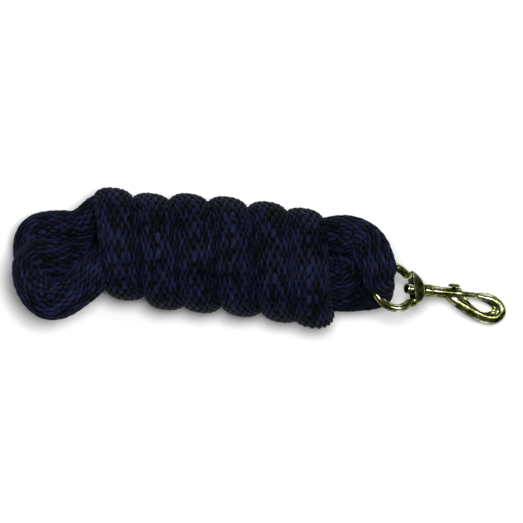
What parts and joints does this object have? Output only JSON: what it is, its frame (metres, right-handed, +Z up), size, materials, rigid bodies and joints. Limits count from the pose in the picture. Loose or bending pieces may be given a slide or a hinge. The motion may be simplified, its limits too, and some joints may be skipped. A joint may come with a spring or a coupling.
{
  "type": "lead rope",
  "caption": "Soft braided dark navy lead rope wound in a hank, with a brass plated swivel eye bolt snap held in its end bight.",
  "frame": {"origin": "middle of the whole object's box, on the surface that the hank lies on", "axes": "+X along the hank towards the snap, +Z up"},
  "size_m": [0.2616, 0.0718, 0.0586],
  "materials": {
    "braided_rope": "soft braided polypropylene",
    "fused_rope": "melted polypropylene",
    "brass_plate": "polished plate",
    "spring_steel": "drawn wire"
  },
  "bodies": {
    "rope": {"rope_wraps": "braided_rope", "snap_end_bight": "braided_rope", "far_end_bight": "braided_rope", "far_end_tail": "braided_rope", "fused_end": "fused_rope"},
    "eye": {"swivel_eye": "brass_plate"},
    "snap": {"hook_body": "brass_plate", "swivel_rivet": "brass_plate", "return_spring": "spring_steel"},
    "plunger": {"bolt": "brass_plate", "thumb_stud": "brass_plate"}
  },
  "joints": [
    {"name": "ring_swing", "type": "hinge", "parent": "rope", "child": "eye", "pos_m": [0.06619, 0.0013, 0.03845], "axis": [0.0117, -0.8206, -0.5715], "range_deg": [0, 45]},
    {"name": "snap_swivel", "type": "hinge", "parent": "eye", "child": "snap", "pos_m": [0.0697, 0.00208, 0.0374], "axis": [0.8655, 0.0287, -0.5], "continuous": true},
    {"name": "bolt_slide", "type": "slide", "parent": "snap", "child": "plunger", "axis": [-0.8655, -0.0287, 0.5], "range_m": [0, 0.0085], "stiffness_N_per_m": 300, "springref_m": -0.004, "deforming": ["return_spring"]}
  ]
}
